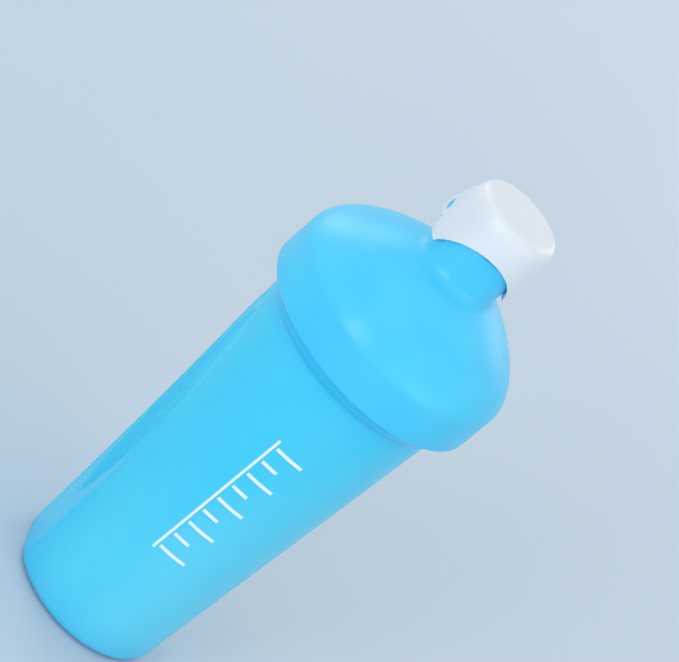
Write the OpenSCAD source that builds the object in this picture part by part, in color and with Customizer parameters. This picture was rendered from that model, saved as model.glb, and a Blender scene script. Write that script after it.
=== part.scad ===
// Protein shaker bottle: cup, printed scale, screw lid with a drinking spout, seal ring,
// flip cap with its spout seal, and a loose wire whisk. Millimetres, +Z up, origin under
// the middle of the base. The bottle stands closed, with the lid fully screwed on.

/* [Cup] */
// Height of the cup from its base to its rim
cup_h = 183; // [178:1:190]
// Outer radius of the cup's neck at the rim; the cup's other radii follow it
rim_r = 43; // [42.5:0.1:43.5]
// Thickness of the cup's side wall
wall = 2; // [1.8:0.1:2.2]
// Height at which each flat grip facet runs out into the round body
facet_h = 148; // [138:1:148]
// Depth of each grip facet at the base
facet_depth = 3.1; // [2.6:0.1:3.2]
// Number of lengthwise ribs on each grip facet
rib_count = 5; // [3:2:5]

/* [Thread] */
// Height that the lid gains in one turn
thread_lead = 8; // [7.6:0.1:8.2]
// Turns of the ridge on the cup's neck
thread_turns = 1; // [0.9:0.05:1]

/* [Lid] */
// Height of the dome's top edge above the lid's mouth
dome_h = 44.5; // [43.5:0.1:45]
// Outer radius of the spout's wide base
spout_r = 16.4; // [16:0.1:16.4]
// Inner radius of the drinking nozzle
nozzle_bore_r = 9; // [8.5:0.1:9]

/* [Flip cap] */
// Thickness of the cap's round wall
cap_wall = 1.6; // [1.4:0.1:1.8]
// How far the cap's pivot sits behind the bottle's axis
pivot_y = 8; // [7.8:0.1:8.2]

/* [Whisk] */
// Diameter of the whisk's wire
wire_d = 1.5; // [1.3:0.1:1.6]
// Radius of the whisk's large coils, to the middle of the wire
coil_r = 21.2; // [20:0.2:21.4]
// Length of the whisk between the middles of its end loops
whisk_len = 53; // [48:1:54]

/* [Hidden] */
$fn = 96;
tiny = 0.01;

// cup
body_top_r = rim_r - 1.9;
base_r = rim_r - 8.9;
neck_r = rim_r + 0.4;
collar_r = rim_r + 3.3;
neck_in_r = rim_r - 2;
body_top_z = cup_h - 29.5;
collar_z = cup_h - 20;
collar_top_z = cup_h - 14.5;
corner_r = 5;
floor_t = 2.5;
foot_r = base_r - 8;
foot_in_r = base_r - 10;
punt = 1.2;
facet_x = base_r - facet_depth;
facet_steps = 12;
facet_reach = 60;
rib_h = 0.5;
rib_w = 1.5;
rib_low_z = 32;
rib_high_z = facet_h - 9;
rib_spread = 5.6;

// thread
thread_crest_r = neck_r + 2.1;
thread_low_z = cup_h - 12.1;
thread_gap = 3.2;
lid_thread_start = 135;
lid_thread_turns = 0.92;

// lid, with heights from its mouth
seat = 22;
mouth_z = cup_h - seat;
skirt_r = rim_r + 6;
skirt_in_r = rim_r + 3.85;
lip_r = (skirt_r - skirt_in_r) / 2;
plug_r = neck_in_r - 0.65;
plug_in_r = plug_r - 1.75;
plug_low = seat - 7;
pocket_r = rim_r + 1.1;
pocket_top = seat + 2.2;
boss_in_r = spout_r - 2.9;
boss_top = 62;
nozzle_r = nozzle_bore_r + 2.4;
nozzle_top = 72;
nozzle_lip_r = (nozzle_r - nozzle_bore_r) / 2;

// flip cap, with heights from the lid's mouth
cap_r = 17 + cap_wall;
cap_in_r = 17;
cap_low = 49;
cap_top = 77.5;
cap_roof = 75.3;
cap_edge_r = 4;
cheek_r = cap_r + 0.3;
pivot = 58;
pin_r = 2.2;
pin_play = 0.06;
arm_in = 16.7;
arm_r = 5.2;
arch_front = 63;
arch_back = 69.5;
arch_r = 17.4;
arch_back_r = 15.8;
seal_t = 2.95;

// printed scale
ink_t = 0.12;
print_low_z = 58;
print_step = 8;
print_marks = 9;

// whisk
whisk_turns = 10.5;
waist_r = 9.4;
ring_steps = 22;
wire_sides = 6;
whisk_z = floor_t + coil_r + wire_d / 2 + 0.15;

// Radius of the cup's outside on its tapered body
function body_r(z) = base_r + (body_top_r - base_r) * (z - corner_r) / (body_top_z - corner_r);

// points of a cubic curve
function bez(a, b, c, d, n) = [
    for (i = [0 : n]) let (t = i / n, s = 1 - t)
        a * s * s * s + b * 3 * s * s * t + c * 3 * s * t * t + d * t * t * t
];

// points of an arc about a centre
function arc(c, r, from, to, n) = [
    for (i = [0 : n]) let (t = from + (to - from) * i / n)
        [c[0] + r * cos(t), c[1] + r * sin(t)]
];

// points moved up by z
function up(points, z) = [for (p = points) [p[0], p[1] + z]];

// a step from 0 to 1 with soft ends, as x goes from a to b
function ramp(x, a, b) = let (t = min(1, max(0, (x - a) / (b - a)))) t * t * (3 - 2 * t);

// triangles joining a list of closed rings, each with m points, and closing both ends
function skin(rings, m) = [
    [for (i = [m - 1 : -1 : 0]) i],
    [for (i = [0 : m - 1]) (rings - 1) * m + i],
    for (k = [0 : rings - 2], i = [0 : m - 1]) let (j = (i + 1) % m)
        each [
            [k * m + i, k * m + j, (k + 1) * m + j],
            [k * m + i, (k + 1) * m + j, (k + 1) * m + i]
        ]
];

// A helical ridge: its root and crest radii, its root and crest widths, and its low end
module ridge(root_r, crest_r, root_w, crest_w, low_z, start, turns) {
    steps = round(turns * 60);
    run_out = 5;
    // keeps the faces turned outwards whether the ridge stands outwards or inwards
    side = sign(crest_r - root_r);
    points = [
        for (k = [0 : steps])
            let (a = start + 360 * turns * k / steps, z = low_z + thread_lead * turns * k / steps)
            let (grow = 0.12 + 0.88 * min(1, k / run_out, (steps - k) / run_out))
            let (crest = root_r + (crest_r - root_r) * grow)
            for (p = [
                [root_r, -root_w / 2], [crest, -crest_w / 2],
                [crest, crest_w / 2], [root_r, root_w / 2]
            ])
            [p[0] * cos(a), p[0] * sin(a), z + side * p[1]]
    ];
    polyhedron(points, skin(steps + 1, 4), convexity = 6);
}

// A facet seen from its side: nearly straight up to half its height, then out to the body
function facet_line(offset) = bez(
    [facet_x + offset, 0], [facet_x + 1.3 + offset, 0.3 * facet_h],
    [facet_x + 2.6 + offset, 0.7 * facet_h], [body_r(facet_h) + offset, facet_h], facet_steps);

// Everything outside both grip facets, moved outwards by offset
module facets(offset) {
    for (side = [0, 180])
        rotate([90, 0, side])
            linear_extrude(2 * facet_reach, center = true)
                polygon(concat(
                    [[facet_x + offset, -10]], facet_line(offset),
                    [[facet_reach, facet_h], [facet_reach, -10]]
                ));
}

// One curved rib drawn flat: along X from its low end to its high end, bowed to one side
module rib_outline(bow) {
    n = 12;
    length = rib_high_z - rib_low_z;
    side = function (offset) [
        for (i = [0 : n]) let (t = i / n, fade = sin(180 * t))
            [rib_low_z + length * t, bow * pow(fade, 0.7) + offset * (0.25 + 0.75 * fade)]
    ];
    low = side(-rib_w / 2);
    high = side(rib_w / 2);
    polygon(concat(low, [for (i = [n : -1 : 0]) high[i]]));
}

// The ribs of both facets, standing rib_h proud of them
module ribs() {
    half = (rib_count - 1) / 2;
    intersection() {
        for (side = [0, 180], k = [-half : half])
            rotate([0, -90, side])
                linear_extrude(facet_reach)
                    rib_outline(k * rib_spread);
        difference() {
            rotate_extrude()
                translate([facet_x - 1, 0])
                    square([12, facet_h]);
            facets(rib_h);
        }
    }
}

function cup_outline() = concat(
    [[0, punt], [foot_in_r, punt], [foot_r, 0]],
    arc([base_r - corner_r, corner_r], corner_r, -90, 0, 8),
    bez([body_top_r, body_top_z], [body_top_r + 2, body_top_z + 2],
        [collar_r, collar_z - 5], [collar_r, collar_z - 0.5], 8),
    bez([collar_r, collar_z + 0.5], [collar_r, collar_top_z - 1.5],
        [collar_r - 1, collar_top_z], [neck_r, collar_top_z], 8),
    [[neck_r, cup_h - 2]],
    arc([rim_r - 0.8, cup_h - 1.2], 1.2, 0, 90, 5),
    [[0, cup_h]]
);

function cup_hollow() = concat(
    [[0, floor_t]],
    arc([base_r - wall - corner_r, floor_t + corner_r], corner_r, -90, 0, 8),
    bez([body_top_r - wall, body_top_z], [body_top_r, body_top_z + 2],
        [rim_r + 0.6, collar_z - 5], [rim_r + 0.6, collar_z - 1], 8),
    bez([rim_r + 0.6, collar_z], [rim_r + 0.6, collar_z + 4],
        [neck_in_r, collar_z + 4], [neck_in_r, collar_z + 8], 8),
    [[neck_in_r, cup_h - 0.6], [neck_in_r + 0.6, cup_h + tiny], [0, cup_h + tiny]]
);

module cup_body() {
    color([0.27, 0.79, 0.98])
        difference() {
            union() {
                difference() {
                    rotate_extrude() polygon(cup_outline());
                    facets(0);
                }
                ridge(neck_r - 0.4, thread_crest_r, 3.4, 1.6, thread_low_z, 0, thread_turns);
                ribs();
            }
            difference() {
                rotate_extrude() polygon(cup_hollow());
                facets(-wall);
            }
        }
}

// One flat-sided mark printed on the front of the cup
module mark(x, z, w, h) {
    intersection() {
        rotate_extrude()
            polygon([
                [body_r(z), z], [body_r(z) + ink_t, z],
                [body_r(z + h) + ink_t, z + h], [body_r(z + h), z + h]
            ]);
        translate([x - w / 2, -60, z])
            cube([w, 60, h]);
    }
}

// Plain graduation: long and short marks beside an upright line
module volume_scale() {
    color("white") {
        mark(-7, print_low_z - 2, 1, print_marks * print_step - 2);
        for (k = [0 : print_marks - 1])
            mark(k % 2 == 0 ? 0.5 : -2, print_low_z + k * print_step, k % 2 == 0 ? 12 : 7, 1.4);
    }
}

// Radius of the whisk's coil after u turns: small end loops, large coils and a narrow waist
function whisk_r(u) =
    waist_r + (coil_r - waist_r) * (
        ramp(u, 0.8, 1.7) - ramp(u, 3.1, 4)
        + ramp(u, whisk_turns - 4, whisk_turns - 3.1) - ramp(u, whisk_turns - 1.7, whisk_turns - 0.8)
    );

// The whisk lies across the cup on its large coils
module wire_whisk() {
    steps = floor(whisk_turns * ring_steps);
    path = [
        for (k = [0 : steps]) let (u = k / ring_steps, a = 360 * u, r = whisk_r(u))
            [whisk_len * (k / steps - 0.5), r * cos(a), r * sin(a)]
    ];
    points = [
        for (k = [0 : steps])
            let (a = 360 * k / ring_steps)
            for (i = [0 : wire_sides - 1])
                let (t = 360 * i / wire_sides)
                path[k] + wire_d / 2 * [sin(t), cos(t) * cos(a), cos(t) * sin(a)]
    ];
    color([0.8, 0.81, 0.82])
        translate([0, 0, whisk_z])
            polyhedron(points, skin(steps + 1, wire_sides), convexity = 20);
}

module lid_seal_ring() {
    low = cup_h + 0.1;
    color([0.85, 0.93, 0.97])
        rotate_extrude()
            polygon([
                [plug_r + 0.15, low + 0.4], [plug_r + 0.55, low], [pocket_r - 0.5, low],
                [pocket_r - 0.1, low + 0.4], [pocket_r - 0.1, low + 1.6],
                [pocket_r - 0.5, low + 2], [plug_r + 0.55, low + 2], [plug_r + 0.15, low + 1.6]
            ]);
}

function lid_outline() = concat(
    arc([skirt_in_r + lip_r, lip_r], lip_r, 180, 360, 10),
    bez([skirt_r, 16], [skirt_r, 24], [skirt_r - 12, dome_h - 10], [spout_r + 2.6, dome_h - 1], 18),
    bez([spout_r + 2.2, dome_h - 0.7], [spout_r + 0.8, dome_h + 0.1],
        [spout_r, dome_h + 1.2], [spout_r, dome_h + 3], 5),
    arc([spout_r - 1, boss_top - 1], 1, 0, 90, 4),
    arc([nozzle_r + 1.2, boss_top + 1.2], 1.2, 270, 180, 4),
    arc([nozzle_r - nozzle_lip_r, nozzle_top - nozzle_lip_r], nozzle_lip_r, 0, 180, 10),
    [[nozzle_bore_r, boss_top - 2], [boss_in_r - 1, boss_top - 3.4], [boss_in_r, boss_top - 4.4]],
    bez([boss_in_r, dome_h - 1.3], [boss_in_r + 10.5, dome_h - 5.5],
        [plug_in_r - 5.6, dome_h - 11.3], [plug_in_r, dome_h - 15.9], 12),
    [[plug_in_r, plug_low + 0.8], [plug_in_r + 0.5, plug_low], [plug_r - 0.6, plug_low]],
    [[plug_r, plug_low + 1], [plug_r, pocket_top], [pocket_r, pocket_top]],
    [[pocket_r, seat - 0.4], [pocket_r + 0.6, seat - 1], [skirt_in_r, seat - 2.5]]
);

module screw_lid() {
    color([0.3, 0.83, 1])
        union() {
            rotate_extrude() polygon(up(lid_outline(), mouth_z));
            ridge(skirt_in_r + 0.4, neck_r + 0.7, 3.2, 1.4,
                thread_low_z + thread_lead * lid_thread_start / 360 - thread_gap,
                lid_thread_start, lid_thread_turns);
            for (side = [-1, 1])
                translate([side * 13.2, pivot_y, mouth_z + pivot])
                    rotate([0, side * 90, 0]) {
                        cylinder(r = 3.6, h = spout_r - 13.2);
                        cylinder(r = pin_r, h = cheek_r - 13.3);
                    }
        }
}

// The side arm's outline in the plane of the cap's swing, without its round pivot end
module arm_outline() {
    polygon([
        [-2, cap_low + 1.5], [0.5, cap_low + 0.6], [pivot_y - 3.9, pivot - 2.4],
        [pivot_y, pivot - 2], [pivot_y + 3.8, pivot + 2.4], [pivot_y + 0.2, pivot + 9],
        [pivot_y - 4.5, cap_top - cap_edge_r - 1], [-2, cap_top - cap_edge_r - 1]
    ]);
}

// The cap's solid form: a round hood, with a flat cheek on each side for the pivot
module cap_form() {
    rotate_extrude()
        polygon(concat(
            [[0, cap_low], [cap_r, cap_low]],
            arc([cap_r - cap_edge_r, cap_top - cap_edge_r], cap_edge_r, 0, 90, 8),
            [[0, cap_top]]
        ));
    for (side = [0, 1])
        mirror([side, 0, 0])
            translate([arm_in, 0, 0])
                rotate([90, 0, 90])
                    linear_extrude(cheek_r - arm_in)
                        arm_outline();
    translate([-cheek_r, pivot_y, pivot])
        rotate([0, 90, 0])
            cylinder(r = arm_r, h = 2 * cheek_r);
}

module flip_cap() {
    color([0.93, 0.94, 0.95])
        translate([0, 0, mouth_z])
            difference() {
                cap_form();
                // hollow of the hood
                translate([0, 0, cap_low - 10])
                    cylinder(r = cap_in_r, h = cap_roof - cap_low + 10);
                // room between the arms behind the axis, up to the top of the spout's base
                translate([-arm_in, 0, cap_low - 10])
                    cube([2 * arm_in, 40, boss_top + 0.3 - cap_low + 10]);
                // front arch
                translate([0, 0, arch_front - arch_r])
                    rotate([90, 0, 0])
                        cylinder(r = arch_r, h = 40);
                // higher back arch, which clears the dome as the cap swings
                translate([0, 0, arch_back - arch_back_r])
                    rotate([-90, 0, 0])
                        cylinder(r = arch_back_r, h = 40);
                // below the arms, which rise from their tips to the pivot
                rotate([90, 0, 90])
                    linear_extrude(80, center = true)
                        polygon([
                            [-3.5, cap_low - 10], [-3.5, cap_low], [pivot_y - 2.4, pivot - 4.65],
                            [pivot_y, pivot - arm_r - 0.05], [pivot_y + 0.3, cap_low - 10]
                        ]);
                // pivot holes
                translate([-30, pivot_y, pivot])
                    rotate([0, 90, 0])
                        cylinder(r = pin_r + pin_play, h = 60);
            }
}

// A soft disc under the cap's roof that closes the nozzle
module spout_seal() {
    color([0.8, 0.9, 0.95])
        translate([0, 0, mouth_z + cap_roof - seal_t])
            rotate_extrude()
                polygon([
                    [0, 0], [nozzle_r + 0.6, 0], [nozzle_r + 1.1, 0.5], [nozzle_r + 1.1, seal_t],
                    [0, seal_t]
                ]);
}

cup_body();
volume_scale();
wire_whisk();
lid_seal_ring();
screw_lid();
flip_cap();
spout_seal();
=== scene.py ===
"""A protein shaker bottle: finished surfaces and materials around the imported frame.

Shapes are worked out in millimetres in the frame's axes, and become metres as each mesh is made.
"""

import math

import bpy
import numpy as np
from mathutils import Matrix, Vector


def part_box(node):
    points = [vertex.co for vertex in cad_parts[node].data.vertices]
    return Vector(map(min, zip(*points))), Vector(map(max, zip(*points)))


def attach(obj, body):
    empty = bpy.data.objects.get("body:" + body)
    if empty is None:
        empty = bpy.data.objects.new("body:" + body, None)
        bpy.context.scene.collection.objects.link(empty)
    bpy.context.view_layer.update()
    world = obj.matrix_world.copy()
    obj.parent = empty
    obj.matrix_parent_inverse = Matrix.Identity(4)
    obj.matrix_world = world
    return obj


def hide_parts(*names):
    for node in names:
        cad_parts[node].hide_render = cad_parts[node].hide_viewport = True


MM = 0.001

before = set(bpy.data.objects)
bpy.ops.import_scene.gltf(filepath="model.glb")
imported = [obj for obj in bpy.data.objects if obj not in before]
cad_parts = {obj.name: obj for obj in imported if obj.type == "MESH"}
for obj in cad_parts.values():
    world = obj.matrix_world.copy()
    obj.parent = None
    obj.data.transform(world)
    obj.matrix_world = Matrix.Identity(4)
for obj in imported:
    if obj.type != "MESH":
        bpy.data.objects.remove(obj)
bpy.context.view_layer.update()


# ---- sizes, from the frame's nodes ----------------------------------------------------------

def corners(node):
    """A node's lowest and highest corners in millimetres."""
    low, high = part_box(node)
    return low / MM, high / MM


cup_high = corners("cup_body")[1]
lid_low, lid_high = corners("screw_lid")
cap_high = corners("flip_cap")[1]
ring_low, ring_high = corners("lid_seal_ring")
seal_low, seal_high = corners("spout_seal")
whisk_low, whisk_high = corners("wire_whisk")

# Cup: its radii, its heights over the base, and its thickness
COLLAR_R = cup_high.y
RIM_R = COLLAR_R - 3.3
NECK_R = RIM_R + 0.4
NECK_IN_R = RIM_R - 2.0
BODY_TOP_R = RIM_R - 1.9
BASE_R = RIM_R - 8.9
CORNER_R = 5.0
CUP_H = cup_high.z
COLLAR_TOP_Z = CUP_H - 14.5
COLLAR_Z = CUP_H - 20.0
BODY_TOP_Z = CUP_H - 29.5
WALL = 2.0
FLOOR_T = 2.5
PUNT = 1.2

# Grip facets: their height, their distance from the axis at the base, the bead along their edges,
# and the ribs in their sunken leaf
FACET_H = CUP_H - 35.0
FACET_X = BASE_R - 3.1
FACET_EDGE = 0.3
EDGE_RELIEF = 0.34
EDGE_LINE_W = 0.85
RIB_COUNT = 5
RIB_H = 0.85
RIB_W = 1.5
RIB_LOW = 32.0
RIB_HIGH = FACET_H - 9.0
RIB_SPREAD = 5.6
LEAF_HALF_WIDTH = 13.4
LEAF_DEPTH = 0.4

# Threads: the lid's ridge lies in the gap under the cup's. Fine rings line the skirt's mouth.
THREAD_LEAD = 8.0
THREAD_LOW = CUP_H - 12.1
THREAD_TOP = CUP_H - 1.3
THREAD_CREST = 2.1
THREAD_HALF_W = 1.75
LID_THREAD_START = 135.0
LID_THREAD_TURNS = 0.92
LID_THREAD_GAP = 3.2
LID_THREAD_CREST = 2.75
LID_THREAD_HALF_W = 1.6
LID_RING_LEVELS = (2.6, 4.2, 5.8)

# Lid: its mouth's height over the base, its radii, and its heights over the mouth
MOUTH_Z = lid_low.z
SKIRT_R = lid_high.y
SKIRT_IN_R = RIM_R + 3.85
SPOUT_R = 16.4
BORE_R = 9.0
NOZZLE_R = BORE_R + 2.4
SEAT = CUP_H - MOUTH_Z
DOME_H = 44.5
BOSS_TOP = 62.0
NOZZLE_TOP = lid_high.z - MOUTH_Z

# Flip cap: its pivot in the frame, its radii, and its heights over the lid's mouth
PIVOT = Vector((0.0, 8.0, MOUTH_Z + 58.0))
PIN_R = 2.2
CAP_R = 18.6
CAP_IN_R = 17.0
CHEEK_R = cap_high.x
CHEEK_IN = 16.7
CHEEK_FRONT = -4.7
CAP_EDGE = 4.0
CAP_LOW = 49.0
CAP_ROOF = 75.3
CAP_TOP = cap_high.z - MOUTH_Z

# Whisk: its wire, and its coil about X
WIRE_R = 0.75
COIL_R = 21.2
WAIST_R = 9.4
WHISK_LEN = 53.0
WHISK_TURNS = 10.5


# ---- outlines -------------------------------------------------------------------------------

def bezier(a, b, c, d, n=24):
    """Points of a cubic curve."""
    t = np.linspace(0, 1, n + 1)[:, None]
    a, b, c, d = (np.array(p, float) for p in (a, b, c, d))
    return (1 - t) ** 3 * a + 3 * t * (1 - t) ** 2 * b + 3 * t * t * (1 - t) * c + t ** 3 * d


def arc(x, y, radius, start, end, n=10):
    """Points of an arc about (x, y), with its angles in degrees."""
    t = np.radians(np.linspace(start, end, n + 1))
    return np.stack([x + radius * np.cos(t), y + radius * np.sin(t)], 1)


def outline(*stretches):
    """Joins points and runs of points, dropping any that repeat."""
    points = np.concatenate([np.atleast_2d(np.array(s, float)) for s in stretches])
    gap = np.linalg.norm(np.diff(points, axis=0), axis=1)
    return points[np.concatenate([[True], gap > 1e-6])]


def soften(points, radius, n=3):
    """Rounds the corners of an open outline, except its two ends."""
    result = [points[0]]
    for before, here, after in zip(points, points[1:], points[2:]):
        to_before, to_after = before - here, after - here
        reach = min(radius, 0.45 * np.linalg.norm(to_before), 0.45 * np.linalg.norm(to_after))
        start = here + to_before / np.linalg.norm(to_before) * reach
        end = here + to_after / np.linalg.norm(to_after) * reach
        for t in np.linspace(0, 1, n + 1):
            result.append((1 - t) ** 2 * start + 2 * t * (1 - t) * here + t * t * end)
    result.append(points[-1])
    return np.array(result)


def dense(points, step):
    """Splits each stretch so that none is longer than step."""
    result = [points[0]]
    for a, b in zip(points, points[1:]):
        parts = max(1, math.ceil(np.linalg.norm(b - a) / step))
        result.extend(a + (b - a) * k / parts for k in range(1, parts + 1))
    return np.array(result)


def bump(distance, half_width):
    """A soft ridge: 1 in the middle and 0 from half_width outwards."""
    x = np.clip(np.abs(distance) / half_width, 0, 1)
    return (1 - x * x) ** 2


def smooth_step(x, low, high):
    """0 below low, 1 above high, with soft ends."""
    t = np.clip((x - low) / (high - low), 0, 1)
    return t * t * (3 - 2 * t)


def smooth_min(a, b, k):
    """The lower of a and b, rounded where they cross."""
    h = np.clip(k - np.abs(a - b), 0, None) / k
    return np.minimum(a, b) - h * h * k / 4


# ---- meshes ---------------------------------------------------------------------------------

def mesh_object(name, points, faces):
    """A smooth-shaded mesh from points in millimetres."""
    mesh = bpy.data.meshes.new(name)
    mesh.from_pydata((np.asarray(points) * MM).tolist(), [], faces)
    mesh.validate()
    mesh.shade_smooth()
    piece = bpy.data.objects.new(name, mesh)
    bpy.context.scene.collection.objects.link(piece)
    return piece


def revolve(name, rows, angles, loop=False):
    """A surface of rows of points round the Z axis. rows is a list of (radii, heights).

    Each row has a radius and a height for each of its angles, and a row of radius 0 is one point.
    loop joins the last row to the first.
    """
    points, starts, faces = [], [], []
    for (radii, heights), turn in zip(rows, angles):
        pole = np.max(radii) < 1e-6
        starts.append((len(points), pole))
        if pole:
            points.append((0.0, 0.0, float(np.mean(heights))))
        else:
            points.extend(np.stack([radii * np.cos(turn), radii * np.sin(turn), heights], 1))
    n = len(angles[0])
    pairs = list(zip(starts, starts[1:])) + ([(starts[-1], starts[0])] if loop else [])
    for (a, a_pole), (b, b_pole) in pairs:
        for j in range(n):
            k = (j + 1) % n
            if a_pole:
                faces.append((a, b + k, b + j))
            elif b_pole:
                faces.append((a + j, a + k, b))
            else:
                faces.append((a + j, a + k, b + k, b + j))
    return mesh_object(name, points, faces)


def turned(name, profile, columns=128, loop=False):
    """A plain turned piece from a profile of (radius, height)."""
    turn = np.linspace(0, 2 * math.pi, columns, endpoint=False)
    rows = [(np.full(columns, radius), np.full(columns, z)) for radius, z in profile]
    return revolve(name, rows, [turn] * len(rows), loop)


def prism(name, points, low, high):
    """A closed solid over an outline in the YZ plane, from x = low to x = high."""
    n = len(points)
    ends = [(x, y, z) for x in (low, high) for y, z in points]
    faces = [tuple(range(n))[::-1], tuple(range(n, 2 * n))]
    faces += [(j, (j + 1) % n, n + (j + 1) % n, n + j) for j in range(n)]
    return mesh_object(name, ends, faces)


def drum(name, centre, radius, low, high, axis, columns=128):
    """A closed drum along an axis, used for carving."""
    spins = {"X": Matrix.Rotation(math.pi / 2, 4, "Y"), "Y": Matrix.Rotation(-math.pi / 2, 4, "X"),
             "Z": Matrix.Identity(4)}
    piece = turned(name, np.array([(0, low), (radius, low), (radius, high), (0, high)]), columns)
    piece.data.transform(Matrix.Translation(Vector(centre) * MM) @ spins[axis])
    return piece


def join(name, *pieces):
    """One object from several."""
    bpy.ops.object.select_all(action="DESELECT")
    for piece in pieces:
        piece.select_set(True)
    bpy.context.view_layer.objects.active = pieces[0]
    bpy.ops.object.join()
    pieces[0].name = name
    pieces[0].select_set(False)
    return pieces[0]


def apply_modifiers(piece):
    """Leaves the piece with the mesh that its modifiers make."""
    graph = bpy.context.evaluated_depsgraph_get()
    mesh = bpy.data.meshes.new_from_object(piece.evaluated_get(graph))
    piece.modifiers.clear()
    piece.data = mesh


def carve(piece, tool, operation="DIFFERENCE"):
    """Cuts tool out of piece, or adds it, and deletes tool."""
    change = piece.modifiers.new("carve", "BOOLEAN")
    change.operation = operation
    change.solver = "EXACT"
    change.object = tool
    apply_modifiers(piece)
    bpy.data.objects.remove(tool)


# ---- cup ------------------------------------------------------------------------------------

# Columns of the mesh: across a facet's ribs, beside them on each side, and on the body between
RIB_COLUMNS = 70
MARGIN_COLUMNS = 15
BODY_COLUMNS = 60
# Least half-widths, in millimetres, of a facet's columns and of its rib columns
LEAST_FACET = 2.8
LEAST_RIBBED = 1.2
# The most of a facet's width that its rib columns take
MOST_RIBBED = 0.85
# How much the body's columns crowd towards the facets: 0 is even
CROWDING = 0.115


def body_radius(z):
    """Radius of the cup's plain tapered wall."""
    return BASE_R + (BODY_TOP_R - BASE_R) * (z - CORNER_R) / (BODY_TOP_Z - CORNER_R)


FACET_LINE = bezier((FACET_X, 0), (FACET_X + 1.3, 0.3 * FACET_H), (FACET_X + 2.6, 0.7 * FACET_H),
                    (body_radius(FACET_H), FACET_H), 64)


def facet_plane(z):
    """Distance of a grip facet from the cup's axis."""
    return float(np.interp(z, FACET_LINE[:, 1], FACET_LINE[:, 0]))


def facet_half_width(radius, plane):
    """Half the width of a facet that lies plane from the axis of a wall of that radius."""
    return math.sqrt(max(radius ** 2 - plane ** 2, 0.0))


def leaf_share(z):
    """Width of the sunken leaf at a height, as a share of its widest: 0 at and beyond its tips."""
    t = min(max((z - RIB_LOW) / (RIB_HIGH - RIB_LOW), 0.0), 1.0)
    return math.sin(math.pi * t) ** 0.7


def cup_angles(z):
    """Angles of the cup's columns at a height.

    Columns run along each facet's edges and along its ribs, so that both stay crisp.
    """
    level = min(max(z, CORNER_R), FACET_H)
    plane = facet_plane(level)
    edge = max(facet_half_width(body_radius(level), plane), LEAST_FACET)
    ribbed = max(RIB_COUNT / 2 * RIB_SPREAD * leaf_share(z), LEAST_RIBBED)
    ribbed = min(ribbed, MOST_RIBBED * edge)
    t = np.linspace(0, 1, MARGIN_COLUMNS, endpoint=False)
    across = np.concatenate([
        -edge + (edge - ribbed) * t ** 2,
        np.linspace(-ribbed, ribbed, RIB_COLUMNS, endpoint=False),
        edge - (edge - ribbed) * (1 - t) ** 2])
    on_facet = np.arctan2(across, plane)
    half = math.atan2(edge, plane)
    s = np.linspace(0, 1, BODY_COLUMNS, endpoint=False)
    s = s - CROWDING * np.sin(2 * math.pi * s)
    on_body = half + (math.pi - 2 * half) * s
    return np.concatenate([on_facet, on_body, on_facet + math.pi, on_body + math.pi])


def grip_relief(y, z):
    """How far a facet's fine curved ribs and its sunken leaf stand proud of its plane."""
    share = leaf_share(z)
    if share == 0:
        return np.zeros_like(y)
    half_width = RIB_W / 2 * (0.3 + 0.7 * share)
    places = (np.arange(RIB_COUNT) - RIB_COUNT // 2) * RIB_SPREAD * share
    ribs = np.max([bump(y - place, half_width) for place in places], axis=0)
    rim = LEAF_HALF_WIDTH * share
    sunk = 1 - smooth_step(np.abs(y), rim - 0.7, rim)
    return (RIB_H * ribs - LEAF_DEPTH * sunk) * min(1.0, 3 * share)


def edge_relief(y, radius, plane):
    """The fine bead and groove that follow a facet's edges."""
    edge = facet_half_width(radius, plane)
    beyond = np.abs(y) - edge
    line = bump(beyond + 0.9, EDGE_LINE_W) - bump(beyond - 0.55, EDGE_LINE_W)
    return EDGE_RELIEF * line * smooth_step(edge, 1.5, 6)


def faceted(radius, z, turn, inset, ribbed):
    """A ring of the cup's wall, flattened where it meets the two grip facets.

    inset moves the facets inwards, and ribbed gives them their relief.
    """
    radii = np.full(len(turn), float(radius))
    if not 0 <= z < FACET_H:
        return radii
    across = np.abs(np.cos(turn))
    plane = (facet_plane(z) - inset) / np.maximum(across, 0.2)
    if ribbed:
        near = across > 0.85
        plane = plane + np.where(near, grip_relief(plane * np.sin(turn), z), 0)
    rounding = FACET_EDGE * min(1.0, (FACET_H - z) / 25 + 0.02)
    result = smooth_min(radii, plane, rounding)
    if ribbed:
        result = result + edge_relief(result * np.sin(turn), radius, facet_plane(z))
    return result


def thread_ridge(turn, z, low, start, turns, half_width):
    """Height, from 0 to 1, of a helical ridge at each angle of a ring.

    The ridge starts at the height low and the angle start, and climbs for that many turns.
    """
    result = np.zeros(len(turn))
    for lap in (0, 1):
        along = (turn - math.radians(start)) % (2 * math.pi) + 2 * math.pi * lap
        share = along / (2 * math.pi * turns)
        middle = low + THREAD_LEAD * along / (2 * math.pi)
        ends = smooth_step(share, 0, 0.07) * (1 - smooth_step(share, 0.93, 1))
        x = np.clip(np.abs(z - middle) / half_width, 0, 1)
        crest = 1 - smooth_step(x, 0.3, 1)
        result = np.maximum(result, np.where(share <= 1, ends * crest, 0))
    return result


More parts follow.
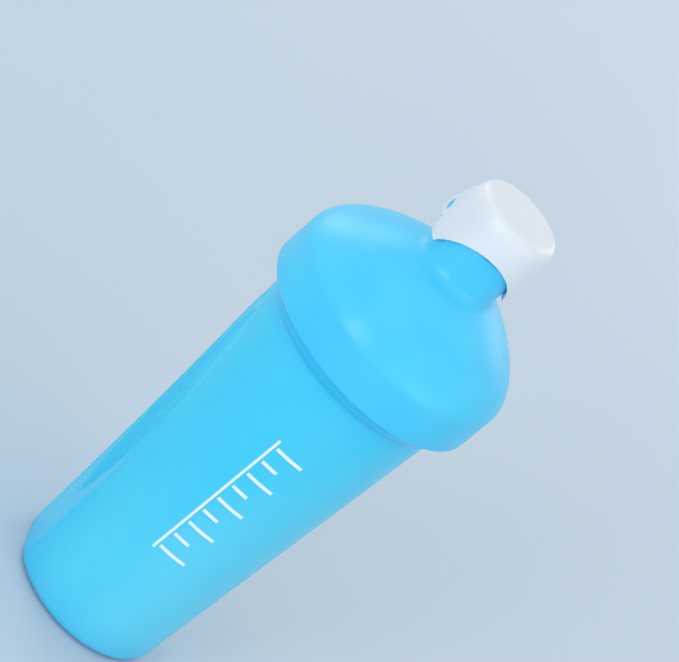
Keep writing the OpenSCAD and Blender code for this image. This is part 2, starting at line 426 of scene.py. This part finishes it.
def cup_outside():
    """The cup's outside from the middle of its base to its rim."""
    foot = [(0, PUNT), (BASE_R - 10, PUNT), (BASE_R - 8, 0)]
    corner = arc(BASE_R - CORNER_R, CORNER_R, CORNER_R, -90, 0, 12)
    flare = bezier((BODY_TOP_R, BODY_TOP_Z), (BODY_TOP_R + 2, BODY_TOP_Z + 2),
                   (COLLAR_R - 0.35, COLLAR_Z - 5), (COLLAR_R - 0.35, COLLAR_Z - 1.4))
    step = bezier((COLLAR_R - 0.35, COLLAR_Z - 1.4), (COLLAR_R - 0.35, COLLAR_Z - 0.9),
                  (COLLAR_R, COLLAR_Z - 1.1), (COLLAR_R, COLLAR_Z - 0.5), 4)
    collar = bezier((COLLAR_R, COLLAR_Z + 0.5), (COLLAR_R, COLLAR_TOP_Z - 1.5),
                    (COLLAR_R - 1, COLLAR_TOP_Z), (NECK_R, COLLAR_TOP_Z))
    neck = [(NECK_R, COLLAR_TOP_Z + 0.6), (NECK_R, CUP_H - 2)]
    rim = arc(RIM_R - 0.8, CUP_H - 1.2, 1.2, 0, 90, 8)
    lower = outline(soften(np.array(foot + [tuple(corner[0])], float), 0.8), corner)
    # The wall meets the flare in a soft corner, which takes the place of the flare's first points.
    taken = 8
    root = soften(np.array([corner[-1], flare[0], flare[taken]]), 2.2, 8)
    upper = outline(root[1:-1], flare[taken + 1:], step, collar, neck, rim)
    return outline(dense(lower, 3), dense(outline(corner[-1], root[1]), 2), dense(upper, 0.55))


def cup_inside():
    """The cup's inside from its rim to the middle of its floor."""
    corner = arc(BASE_R - WALL - CORNER_R, FLOOR_T + CORNER_R, CORNER_R, 0, -90, 10)
    neck = bezier((NECK_IN_R, COLLAR_Z + 8), (NECK_IN_R, COLLAR_Z + 4),
                  (RIM_R + 0.6, COLLAR_Z + 4), (RIM_R + 0.6, COLLAR_Z))
    shoulder = bezier((RIM_R + 0.6, COLLAR_Z - 1), (RIM_R + 0.6, COLLAR_Z - 5),
                      (BODY_TOP_R, BODY_TOP_Z + 2), (BODY_TOP_R - WALL, BODY_TOP_Z))
    rim = arc(NECK_IN_R + 0.6, CUP_H - 0.6, 0.6, 90, 180, 5)
    upper = dense(outline(rim, neck, shoulder), 1.4)
    wall = dense(outline(shoulder[-1], corner[0]), 5)
    floor = dense(outline(corner[-1], (0, FLOOR_T)), 5)
    return outline(upper, wall, corner, floor)


def make_cup():
    """The cup's shell, with its grip facets and its neck's thread."""
    rows, angles = [], []
    outside, inside = cup_outside(), cup_inside()
    for k, (radius, z) in enumerate(np.concatenate([outside, inside])):
        outer = k < len(outside)
        turn = cup_angles(z)
        radii = faceted(radius, z, turn, 0 if outer else WALL, outer)
        if outer and COLLAR_TOP_Z < z <= THREAD_TOP:
            ridge = thread_ridge(turn, z, THREAD_LOW, 0, 1.0, THREAD_HALF_W)
            radii = np.maximum(radii, NECK_R + THREAD_CREST * ridge - 0.02)
        rows.append((radii, np.full(len(turn), z)))
        angles.append(turn)
    return revolve("cup_shell", rows, angles)


# ---- lid ------------------------------------------------------------------------------------

def lid_profile():
    """The lid's section as a closed loop of (radius, height above its mouth)."""
    lip = (SKIRT_R - SKIRT_IN_R) / 2
    plug_r = NECK_IN_R - 0.65
    plug_in = plug_r - 1.75
    plug_low = SEAT - 7
    pocket_r = RIM_R + 1.1
    boss_in = SPOUT_R - 2.9
    nozzle_lip = (NOZZLE_R - BORE_R) / 2
    bottom = arc(SKIRT_IN_R + lip, lip, lip, 180, 360, 12)
    dome = bezier((SKIRT_R, 16), (SKIRT_R, 24), (SKIRT_R - 12, DOME_H - 10),
                  (SPOUT_R + 2.6, DOME_H - 1), 40)
    fillet = bezier((SPOUT_R + 2.2, DOME_H - 0.7), (SPOUT_R + 0.8, DOME_H + 0.1),
                    (SPOUT_R, DOME_H + 1.2), (SPOUT_R, DOME_H + 3), 10)
    shoulder = arc(SPOUT_R - 1, BOSS_TOP - 1, 1, 0, 90, 8)
    waist = arc(NOZZLE_R + 1.2, BOSS_TOP + 1.2, 1.2, 270, 180, 8)
    tip = arc(NOZZLE_R - nozzle_lip, NOZZLE_TOP - nozzle_lip, nozzle_lip, 0, 180, 12)
    boss_inside = soften(np.array([
        tip[-1], (BORE_R, BOSS_TOP - 2), (boss_in - 1, BOSS_TOP - 3.4),
        (boss_in, BOSS_TOP - 4.4), (boss_in, DOME_H - 1.3)]), 0.8)
    ceiling = bezier((boss_in, DOME_H - 1.3), (boss_in + 10.5, DOME_H - 5.5),
                     (plug_in - 5.6, DOME_H - 11.3), (plug_in, DOME_H - 15.9), 24)
    plug = soften(np.array([
        ceiling[-1], (plug_in, plug_low + 0.8), (plug_in + 0.5, plug_low), (plug_r - 0.6, plug_low),
        (plug_r, plug_low + 1), (plug_r, SEAT + 2.2), (pocket_r, SEAT + 2.2),
        (pocket_r, SEAT - 0.4), (pocket_r + 0.6, SEAT - 1), (SKIRT_IN_R, SEAT - 2.5),
        bottom[0]]), 0.3)
    return outline(bottom, dome, fillet, shoulder, waist, tip, boss_inside, ceiling, plug)[:-1]


def lid_thread(turn, z):
    """How far the ridge and the fine rings inside the skirt stand inwards, in millimetres."""
    low = THREAD_LOW - MOUTH_Z + THREAD_LEAD * LID_THREAD_START / 360 - LID_THREAD_GAP
    ridge = thread_ridge(turn, z, low, LID_THREAD_START, LID_THREAD_TURNS, LID_THREAD_HALF_W)
    rings = sum(bump(z - level, 0.55) for level in LID_RING_LEVELS)
    return np.maximum(LID_THREAD_CREST * ridge, 0.3 * rings)


def on_skirt(radius, z):
    """Whether a point of the lid's section is on the straight inside of its skirt."""
    return (np.abs(radius - SKIRT_IN_R) < 0.02) & (z > 1.2) & (z < SEAT - 2.4)


def make_lid_shell():
    """The lid's shell. The inside of its skirt has even, finer rows for the thread."""
    columns = 224
    turn = np.linspace(0, 2 * math.pi, columns, endpoint=False)
    profile = dense(lid_profile(), 0.9)
    skirt = [(SKIRT_IN_R, z) for z in np.arange(SEAT - 2.6, 1.2, -0.4)]
    coarse = on_skirt(profile[:, 0], profile[:, 1])
    first = int(np.argmax(coarse))
    kept = np.concatenate([profile[:first], skirt, profile[first:][~coarse[first:]]])
    rows = []
    for radius, z in kept:
        radii = np.full(columns, radius)
        if on_skirt(radius, z):
            radii = radii - lid_thread(turn, z)
        rows.append((radii, np.full(columns, z + MOUTH_Z)))
    return revolve("lid_shell", rows, [turn] * len(rows), loop=True)


def make_pin(side):
    """A pivot pin on its round boss, turned about X at one side of the spout."""
    end = CHEEK_R - 0.05
    profile = soften(np.array([
        (0, 13.4), (3.6, 13.4), (3.6, SPOUT_R), (PIN_R, SPOUT_R), (PIN_R, CHEEK_R - 0.35),
        (PIN_R - 0.35, end), (0.9, end), (0.6, CHEEK_R - 0.4), (0, CHEEK_R - 0.4)]), 0.25)
    piece = turned("pin", dense(profile, 0.5), 48)
    spin = Matrix.Rotation(side * math.pi / 2, 4, "Y")
    piece.data.transform(Matrix.Translation(PIVOT * MM) @ spin)
    return piece


def make_lid():
    """The lid with its two pivot pins."""
    return join("lid_shell", make_lid_shell(), make_pin(-1), make_pin(1))


# ---- seals ----------------------------------------------------------------------------------

def make_seal_ring():
    """The rounded ring in the lid's pocket."""
    inner, outer = ring_high.x - 3.05, ring_high.x
    low, high = ring_low.z, ring_high.z
    corner = 0.5
    loop = outline(
        arc(outer - corner, low + corner, corner, -90, 0, 5),
        arc(outer - corner, high - corner, corner, 0, 90, 5),
        arc(inner + corner, high - corner, corner, 90, 180, 5),
        arc(inner + corner, low + corner, corner, 180, 270, 5))
    return turned("seal_ring", dense(loop, 0.5), 160, loop=True)


def make_spout_seal():
    """The soft disc under the cap's roof, with a fine ring groove in its face."""
    r, low, high = seal_high.x, seal_low.z, seal_high.z
    profile = outline(
        (0, low), (BORE_R - 1.2, low), (BORE_R - 0.9, low + 0.25), (BORE_R - 0.4, low + 0.25),
        (BORE_R - 0.1, low), (r - 0.7, low), arc(r - 0.6, low + 0.6, 0.6, -90, 0, 5),
        (r, high - 0.2), (r - 0.2, high), (0, high))
    return turned("spout_pad", dense(profile, 0.6), 96)


# ---- flip cap -------------------------------------------------------------------------------

def cap_wall():
    """The solid hood before it is hollowed: a round wall with a soft top edge."""
    low, high = MOUTH_Z + CAP_LOW, MOUTH_Z + CAP_TOP
    edge = bezier((CAP_R, high - CAP_EDGE - 4), (CAP_R, high - 1.4), (CAP_R - 1.6, high - 0.25),
                  (CAP_R - CAP_EDGE - 1, high - 0.2), 12)
    return turned("cap_hood", outline((0, low), (CAP_R, low), edge, (0, high)), 192)


def arm_outline():
    """An arm seen from the side, leaning back from the hood to its eye, as (y, z)."""
    y = PIVOT.y
    top = CAP_TOP - CAP_EDGE - 1
    points = np.array([
        (CHEEK_FRONT, CAP_LOW + 3.4), (-2, CAP_LOW + 1.5), (0.5, CAP_LOW + 0.6), (y - 3.9, 55.6),
        (y, 56), (y + 3.8, 60.4), (y + 0.2, 67), (y - 4.5, top), (CHEEK_FRONT, top)])
    points = points + (0, MOUTH_Z)
    return soften(np.vstack([points[-1:], points, points[:1]]), 2.0, 5)[1:-1]


def wedge(side, low, high):
    """The slope that leads from the hood's round wall up to an arm's flat cheek."""
    reach = CAP_R + 0.03
    top = (2.5, CHEEK_R)
    turn = math.atan2(*top) - math.acos(reach / math.hypot(*top))
    touch = reach * math.sin(turn), reach * math.cos(turn)
    foot = (2 * touch[0] - top[0], 2 * touch[1] - top[1])
    outside = 30
    points = np.array([foot, top, (top[0], outside), (foot[0], outside)]) * (1, side)
    piece = prism("slope", points[::side], -high, -low)
    piece.data.transform(Matrix.Rotation(math.pi / 2, 4, "Y"))
    return piece


def add_arms(hood):
    """Gives the hood an arm with a round eye at each side, and slopes their front edges."""
    for side in (-1, 1):
        low, high = sorted((side * CHEEK_IN, side * CHEEK_R))
        carve(hood, prism("arm", arm_outline(), low, high), "UNION")
        carve(hood, drum("eye", (0, PIVOT.y, PIVOT.z), 5.2, low, high, "X"), "UNION")
        carve(hood, wedge(side, MOUTH_Z + 30, MOUTH_Z + CAP_TOP))


def open_cap(hood):
    """Hollows the hood, and clears the spout, the front and back arches and the pin holes."""
    y, z0 = PIVOT.y, MOUTH_Z
    below, clear = z0 + 30, 40
    room_top = z0 + BOSS_TOP + 0.3
    room = [(0, below), (clear, below), (clear, room_top), (0, room_top)]
    under_arms = [(-3.5, below), (-3.5, z0 + CAP_LOW), (y - 2.4, z0 + 53.35), (y, z0 + 52.75),
                  (y + 0.3, below)]
    carve(hood, drum("hollow", (0, 0, z0), CAP_IN_R, 30, CAP_ROOF, "Z", 192))
    carve(hood, prism("room", np.array(room), -CHEEK_IN, CHEEK_IN))
    carve(hood, drum("front_arch", (0, 0, z0 + 63 - 17.4), 17.4, -clear, 0, "Y"))
    carve(hood, drum("back_arch", (0, 0, z0 + 69.5 - 15.8), 15.8, 0, clear, "Y"))
    carve(hood, prism("under_arms", np.array(under_arms), -clear, clear))
    carve(hood, drum("pin_hole", (0, y, PIVOT.z), PIN_R + 0.1, -30, 30, "X", 64))


def round_edges(piece, size, passes):
    """Remeshes a piece evenly, at size in millimetres, and rounds its edges softly."""
    voxels = piece.modifiers.new("even_mesh", "REMESH")
    voxels.mode = "VOXEL"
    voxels.voxel_size = size * MM
    relax = piece.modifiers.new("rounded_edges", "SMOOTH")
    relax.factor = 0.5
    relax.iterations = passes
    apply_modifiers(piece)
    piece.data.shade_smooth()


def make_cap():
    """The flip cap: a hood with two arms that hold the lid's pins."""
    hood = cap_wall()
    add_arms(hood)
    open_cap(hood)
    round_edges(hood, size=0.32, passes=14)
    return hood


# ---- whisk ----------------------------------------------------------------------------------

def whisk_radius(turns):
    """Radius of the coil: small end loops, large coils and a narrow waist."""
    large = smooth_step(turns, 0.8, 1.7) - smooth_step(turns, 3.1, 4)
    large += smooth_step(turns, WHISK_TURNS - 4, WHISK_TURNS - 3.1)
    large -= smooth_step(turns, WHISK_TURNS - 1.7, WHISK_TURNS - 0.8)
    return WAIST_R + (COIL_R - WAIST_R) * large


def whisk_path():
    """The wire's middle line, and at each of its points the way along it and the way outwards."""
    per_turn = 56
    steps = int(WHISK_TURNS * per_turn)
    place = np.arange(steps + 1)
    turn = 2 * math.pi * (place / per_turn)
    r = whisk_radius(place / per_turn)
    height = (whisk_low.z + whisk_high.z) / 2
    path = np.stack([WHISK_LEN * (place / steps - 0.5),
                     r * np.cos(turn), r * np.sin(turn) + height], 1)
    along = np.gradient(path, axis=0)
    along /= np.linalg.norm(along, axis=1)[:, None]
    outward = np.stack([np.zeros(steps + 1), np.cos(turn), np.sin(turn)], 1)
    outward -= along * np.sum(outward * along, axis=1)[:, None]
    outward /= np.linalg.norm(outward, axis=1)[:, None]
    return path, along, outward


def wire_rings(path, along):
    """Rings of the wire as (middle, index of its point, radius), with a round cap at each end."""
    cap_steps = 4
    lifts = [math.radians(90 * k / cap_steps) for k in range(1, cap_steps + 1)]
    last = len(path) - 1
    rings = [(path[0] - along[0] * WIRE_R * math.sin(lift), 0, WIRE_R * math.cos(lift))
             for lift in reversed(lifts)]
    rings += [(middle, k, WIRE_R) for k, middle in enumerate(path)]
    rings += [(path[-1] + along[-1] * WIRE_R * math.sin(lift), last, WIRE_R * math.cos(lift))
              for lift in lifts]
    return rings


def make_whisk():
    """One round wire swept along its coil, with rounded ends."""
    sides = 14
    path, along, outward = whisk_path()
    side = np.cross(along, outward)
    rings = wire_rings(path, along)
    t = 2 * math.pi * np.arange(sides) / sides
    points, faces = [], []
    for middle, k, radius in rings:
        ring = outward[k] * np.cos(t)[:, None] + side[k] * np.sin(t)[:, None]
        points.extend(middle + max(radius, 0.02) * ring)
    for k in range(len(rings) - 1):
        a, b = k * sides, (k + 1) * sides
        faces += [(a + j, a + (j + 1) % sides, b + (j + 1) % sides, b + j) for j in range(sides)]
    faces.append(tuple(range(sides))[::-1])
    faces.append(tuple(range((len(rings) - 1) * sides, len(rings) * sides)))
    return mesh_object("whisk_wire", points, faces)


# ---- materials ------------------------------------------------------------------------------

# How far red, green and blue light goes into the blue plastic, as a share of its scale
BLUE_DEPTH = (0.35, 0.8, 1.0)


class Nodes:
    """A new material, and short ways to add nodes to it."""

    def __init__(self, name):
        self.material = bpy.data.materials.new(name)
        self.material.use_nodes = True
        self.tree = self.material.node_tree
        self.shader = self.tree.nodes["Principled BSDF"]
        self.place = self.add("ShaderNodeTexCoord").outputs["Object"]

    def add(self, kind, **values):
        """A new node with some of its settings."""
        node = self.tree.nodes.new(kind)
        for name, value in values.items():
            setattr(node, name, value)
        return node

    def link(self, output, socket):
        """Joins an output to a socket."""
        self.tree.links.new(output, socket)

    def set(self, **values):
        """Sets the shader's own sockets to constants."""
        for name, value in values.items():
            self.shader.inputs[name.replace("_", " ")].default_value = value

    def drive(self, **outputs):
        """Links outputs to the shader's own sockets."""
        for name, output in outputs.items():
            self.link(output, self.shader.inputs[name.replace("_", " ")])

    def noise(self, scale, detail=3.0, stretch=(1, 1, 1)):
        """A noise pattern over the piece, with scale in spots a metre."""
        mapping = self.add("ShaderNodeMapping")
        mapping.inputs["Scale"].default_value = stretch
        self.link(self.place, mapping.inputs["Vector"])
        noise = self.add("ShaderNodeTexNoise")
        noise.inputs["Scale"].default_value = scale
        noise.inputs["Detail"].default_value = detail
        self.link(mapping.outputs["Vector"], noise.inputs["Vector"])
        return noise.outputs["Fac"]

    def spread(self, value, low, high, from_low=0.0, from_high=1.0, soft=False):
        """value moved from one span to another."""
        node = self.add("ShaderNodeMapRange")
        node.interpolation_type = "SMOOTHSTEP" if soft else "LINEAR"
        node.inputs["From Min"].default_value = from_low
        node.inputs["From Max"].default_value = from_high
        node.inputs["To Min"].default_value = low
        node.inputs["To Max"].default_value = high
        self.link(value, node.inputs["Value"])
        return node.outputs["Result"]

    def mix(self, share, a, b):
        """A colour between a and b, each three numbers or a socket."""
        node = self.add("ShaderNodeMix", data_type="RGBA")
        self.link(share, node.inputs["Factor"])
        for side, colour in (("A", a), ("B", b)):
            socket = next(s for s in node.inputs if s.name == side and s.type == "RGBA")
            if isinstance(colour, tuple):
                socket.default_value = (*colour, 1)
            else:
                self.link(colour, socket)
        return next(s for s in node.outputs if s.type == "RGBA")

    def math(self, operation, a, b):
        """A sum or product of two values, each a number or a socket."""
        node = self.add("ShaderNodeMath", operation=operation)
        for socket, value in zip(node.inputs, (a, b)):
            if isinstance(value, (int, float)):
                socket.default_value = value
            else:
                self.link(value, socket)
        return node.outputs[0]

    def height(self):
        """Height over the base, in metres."""
        node = self.add("ShaderNodeSeparateXYZ")
        self.link(self.place, node.inputs[0])
        return node.outputs["Z"]

    def bumps(self, value, depth):
        """Bumps of that depth in metres."""
        node = self.add("ShaderNodeBump")
        node.inputs["Strength"].default_value = 1.0
        node.inputs["Distance"].default_value = depth
        self.link(value, node.inputs["Height"])
        self.drive(Normal=node.outputs["Normal"])


def cup_plastic():
    """Frosted translucent blue, glossier and deeper towards the neck, with lighter patches along
    its length that are partly its own uneven tone and partly painted light.
    """
    m = Nodes("cup_plastic")
    m.set(IOR=1.49, Specular_IOR_Level=0.4, Subsurface_Weight=0.15, Subsurface_Scale=0.0015,
          Subsurface_Radius=BLUE_DEPTH, Transmission_Weight=0.04)
    # Lighter patches stretched along the cup's axis: partly the plastic's uneven tone, partly
    # painted light where light glows through the frosted wall.
    patches = m.spread(m.noise(14, 2, (1, 1, 0.4)), 0, 1, 0.35, 0.7, soft=True)
    body = m.mix(patches, (0.055, 0.65, 0.95), (0.13, 0.72, 0.97))
    neck = m.spread(m.height(), 0, 1, 0.146, 0.166, soft=True)
    foot = m.spread(m.height(), 1, 0, 0.0, 0.02, soft=True)
    deep = m.mix(neck, body, (0.01, 0.53, 0.94))
    blue = m.mix(m.math("MULTIPLY", foot, 0.35), deep, (0.02, 0.48, 0.9))
    speckle = m.spread(m.noise(420, 4), -0.04, 0.04)
    satin = m.spread(m.height(), 0.34, 0.17, 0.154, 0.163, soft=True)
    m.drive(Base_Color=blue, Roughness=m.math("ADD", satin, speckle))
    grain = m.spread(m.height(), 1, 0, 0.142, 0.151, soft=True)
    m.bumps(m.math("MULTIPLY", m.noise(1500, 3), grain), 0.00003)
    return m.material


def lid_plastic():
    """Satin blue, a little deeper in places."""
    m = Nodes("lid_plastic")
    m.set(IOR=1.49, Subsurface_Weight=0.3, Subsurface_Scale=0.003, Subsurface_Radius=BLUE_DEPTH)
    patches = m.spread(m.noise(18, 2), 0, 1, 0.3, 0.7, soft=True)
    m.drive(Base_Color=m.mix(patches, (0.04, 0.56, 0.95), (0.075, 0.64, 0.97)),
            Roughness=m.spread(m.noise(380, 4), 0.3, 0.4))
    m.bumps(m.noise(1300, 3), 0.00005)
    return m.material


def cap_plastic():
    """White satin, a little greyer in places."""
    m = Nodes("cap_plastic")
    m.set(IOR=1.48, Subsurface_Weight=0.25, Subsurface_Scale=0.002)
    m.drive(Base_Color=m.mix(m.noise(40, 3), (0.7, 0.76, 0.8), (0.82, 0.86, 0.89)),
            Roughness=m.spread(m.noise(400, 4), 0.26, 0.38))
    m.bumps(m.noise(1400, 3), 0.00005)
    return m.material


def silicone():
    """Soft milky silicone."""
    m = Nodes("seal_silicone")
    m.set(IOR=1.41, Subsurface_Weight=0.5, Subsurface_Scale=0.003)
    m.drive(Base_Color=m.mix(m.noise(60, 3), (0.6, 0.76, 0.84), (0.72, 0.85, 0.9)),
            Roughness=m.spread(m.noise(500, 4), 0.45, 0.6))
    m.bumps(m.noise(1100, 4), 0.00008)
    return m.material


def steel():
    """Polished drawn wire with faint marks, and painted shade that darkens it where it turns away
    from the camera.
    """
    m = Nodes("whisk_steel")
    m.set(Metallic=1.0)
    bright = m.mix(m.noise(120, 4), (0.74, 0.75, 0.76), (0.9, 0.91, 0.92))
    # Painted shade: the colour darkens towards the wire's edges, where its surface turns away from
    # the camera.
    facing = m.add("ShaderNodeLayerWeight").outputs["Facing"]
    shade = m.spread(facing, 0, 0.85, 0.35, 0.75, soft=True)
    m.drive(Base_Color=m.mix(shade, bright, (0.07, 0.075, 0.08)),
            Roughness=m.spread(m.noise(700, 5), 0.06, 0.16))
    m.bumps(m.noise(1600, 3), 0.00002)
    return m.material


def ink():
    """White printing, thin in spots."""
    m = Nodes("print_ink")
    m.set(IOR=1.5)
    worn = m.spread(m.noise(900, 5), 0, 1, 0.3, 0.55)
    m.drive(Base_Color=m.mix(worn, (0.72, 0.87, 0.95), (0.94, 0.96, 0.97)),
            Roughness=m.spread(m.noise(600, 4), 0.35, 0.5))
    m.bumps(m.noise(1800, 3), 0.00004)
    return m.material


def floor_finish():
    """Pale and matt, with painted light that grows with distance: darker near the bottle, lighter
    and faintly glowing far off, so that it meets the backdrop softly.
    """
    m = Nodes("studio_floor")
    m.set(Roughness=0.7, Emission_Color=(0.86, 0.91, 0.96, 1))
    distance = m.add("ShaderNodeVectorMath", operation="LENGTH")
    m.link(m.place, distance.inputs[0])
    # Painted light: the floor turns lighter and glows faintly with distance from the bottle.
    far = m.spread(distance.outputs["Value"], 0, 1, 0.4, 2.4, soft=True)
    near = m.mix(m.noise(3, 2), (0.52, 0.61, 0.69), (0.56, 0.65, 0.72))
    m.drive(Base_Color=m.mix(far, near, (0.84, 0.88, 0.92)),
            Emission_Strength=m.math("MULTIPLY", far, 0.13))
    return m.material


# ---- studio ---------------------------------------------------------------------------------

# The camera: the point it looks towards, where it stands from there, in degrees and metres, and how
# it is turned, in degrees
AIM = Vector((0, 0, 0.1))
VIEW_AZIMUTH = -17.16
VIEW_ELEVATION = 27.19
VIEW_DISTANCE = 1.3
VIEW_ROLL = 49.48
VIEW_YAW = 1.29
VIEW_PITCH = 1.79
LENS_MM = 184.7
SENSOR_MM = 36

BACKDROP = (0.86, 0.91, 0.96, 1)


def make_floor():
    """A wide pale floor under the bottle."""
    half, n, z = 3000.0, 8, -0.05
    line = np.linspace(-half, half, n + 1)
    points = [(x, y, z) for y in line for x in line]
    first = [j * (n + 1) + i for j in range(n) for i in range(n)]
    faces = [(k, k + 1, k + n + 2, k + n + 1) for k in first]
    floor = mesh_object("floor", points, faces)
    floor.data.materials.append(floor_finish())


def direction(azimuth, elevation):
    """From the object towards a viewer; azimuth 0 is straight in front, on the -Y side."""
    a, e = math.radians(azimuth), math.radians(elevation)
    return Vector((math.sin(a) * math.cos(e), -math.cos(a) * math.cos(e), math.sin(e)))


def softbox(name, azimuth, elevation, distance, width, height, power):
    """A soft rectangular light that faces the bottle's middle."""
    light = bpy.data.lights.new(name, "AREA")
    light.shape = "RECTANGLE"
    light.size, light.size_y = width, height
    light.energy = power
    lamp = bpy.data.objects.new(name, light)
    towards = direction(azimuth, elevation)
    lamp.location = Vector((0, 0, 0.11)) + towards * distance
    lamp.rotation_euler = towards.to_track_quat("Z", "Y").to_euler()
    bpy.context.scene.collection.objects.link(lamp)


def make_lights():
    """Five softboxes and a pale world."""
    softbox("key", -36, 20, 1.1, 0.24, 0.9, 3.4)
    softbox("fill", 42, 8, 1.4, 0.7, 1.2, 3.2)
    softbox("top", 10, 78, 1.2, 0.8, 0.8, 0.8)
    softbox("back_left", -150, 25, 1.3, 0.4, 0.9, 2.6)
    softbox("back_right", 140, 30, 1.3, 0.5, 0.9, 2.0)
    world = bpy.data.worlds.new("studio")
    world.use_nodes = True
    backdrop = world.node_tree.nodes["Background"]
    backdrop.inputs["Color"].default_value = BACKDROP
    backdrop.inputs["Strength"].default_value = 0.8
    bpy.context.scene.world = world


def make_camera():
    """The photograph's view: the standing bottle lies tilted across the picture."""
    towards = direction(VIEW_AZIMUTH, VIEW_ELEVATION)
    forward = -towards
    right = forward.cross(Vector((0, 0, 1))).normalized()
    view = Matrix((right, right.cross(forward), towards)).transposed()
    view = view @ Matrix.Rotation(math.radians(VIEW_ROLL), 3, "Z")
    view = view @ Matrix.Rotation(-math.radians(VIEW_YAW), 3, "Y")
    view = view @ Matrix.Rotation(math.radians(VIEW_PITCH), 3, "X")
    lens = bpy.data.cameras.new("camera")
    lens.sensor_width = SENSOR_MM
    lens.lens = LENS_MM
    camera = bpy.data.objects.new("camera", lens)
    camera.matrix_world = Matrix.Translation(AIM + towards * VIEW_DISTANCE) @ view.to_4x4()
    bpy.context.scene.collection.objects.link(camera)
    bpy.context.scene.camera = camera


# ---- the bottle -----------------------------------------------------------------------------

def finish_piece(piece, body, slot, material, *nodes):
    """Gives a piece its material and body, and hides the CAD nodes that it stands for. Its slot is
    not used.
    """
    piece.data.materials.clear()
    piece.data.materials.append(material)
    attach(piece, body)
    if nodes:
        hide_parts(*nodes)


def make_bottle():
    """Every piece over its CAD node, and ink on the printed scale, which stays a CAD node."""
    finish_piece(make_cup(), "cup", "cup_plastic", cup_plastic(), "cup_body")
    finish_piece(make_lid(), "lid", "lid_plastic", lid_plastic(), "screw_lid")
    finish_piece(make_cap(), "cap", "cap_plastic", cap_plastic(), "flip_cap")
    rubber = silicone()
    finish_piece(make_seal_ring(), "seal_ring", "seal_silicone", rubber, "lid_seal_ring")
    finish_piece(make_spout_seal(), "cap", "seal_silicone", rubber, "spout_seal")
    finish_piece(make_whisk(), "whisk", "whisk_steel", steel(), "wire_whisk")
    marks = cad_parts["volume_scale"]
    marks.data.materials.clear()
    marks.data.materials.append(ink())


make_camera()
make_floor()
make_lights()
make_bottle()
bpy.context.scene.view_settings.view_transform = "Standard"
